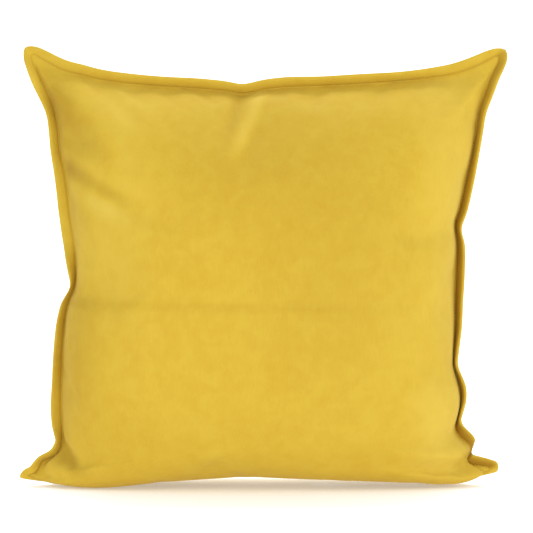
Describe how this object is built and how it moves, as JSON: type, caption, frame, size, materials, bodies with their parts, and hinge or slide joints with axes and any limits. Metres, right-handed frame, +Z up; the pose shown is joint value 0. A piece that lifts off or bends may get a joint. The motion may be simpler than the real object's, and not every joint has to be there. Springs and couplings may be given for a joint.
{
  "type": "throw pillow",
  "caption": "Square velvet throw pillow with a narrow topstitched flange, standing on its edge; zipped back cover over a fibre-filled insert.",
  "frame": {"origin": "on the floor below the middle of the pillow, midway between the front and back faces' furthest points", "axes": "+X across the front towards the right as seen from the front, -Y out of the front face, +Z up; the pillow stands on its lower edge"},
  "size_m": [0.4866, 0.1841, 0.4381],
  "materials": {
    "velvet": "short-pile cotton velvet, mustard yellow",
    "thread": "polyester sewing thread matched to the velvet",
    "zip_tape": "woven polyester tape",
    "zip_coil": "dyed nylon coil",
    "slider_metal": "nickel-plated zinc",
    "label": "plain white satin ribbon, blank",
    "ticking": "white non-woven or plain cotton",
    "ticking_thread": "white sewing thread",
    "filling": "loose polyester fibre"
  },
  "bodies": {
    "cushion": {"cover_front_panel": "velvet", "cover_back_upper_panel": "velvet", "cover_back_lower_panel": "velvet", "flange_needle_thread": "thread", "flange_bobbin_thread": "thread", "edge_seam_thread": "thread", "zip_tape_upper": "zip_tape", "zip_tape_lower": "zip_tape", "zip_coil_upper": "zip_coil", "zip_coil_lower": "zip_coil", "zip_top_stops": "zip_coil", "zip_bottom_stop": "zip_coil", "zip_stitching_upper": "thread", "zip_stitching_lower": "thread", "zip_bar_tacks": "thread", "care_label": "label", "insert_front_panel": "ticking", "insert_back_panel": "ticking", "insert_seam_thread": "ticking_thread", "insert_closing_stitch": "ticking_thread", "insert_filling": "filling"},
    "zip_slider": {"zip_slider_body": "slider_metal"},
    "zip_pull": {"zip_pull_tab": "slider_metal"}
  },
  "joints": [
    {"name": "zip_run", "type": "hinge", "parent": "cushion", "child": "zip_slider", "pos_m": [0, -0.373, 0.14024], "axis": [0, 0, 1], "range_deg": [0, 41.14]},
    {"name": "pull_flip", "type": "hinge", "parent": "zip_slider", "child": "zip_pull", "pos_m": [0.16396, 0.06331, 0.14024], "axis": [0, 0, 1], "range_deg": [0, 175]}
  ]
}
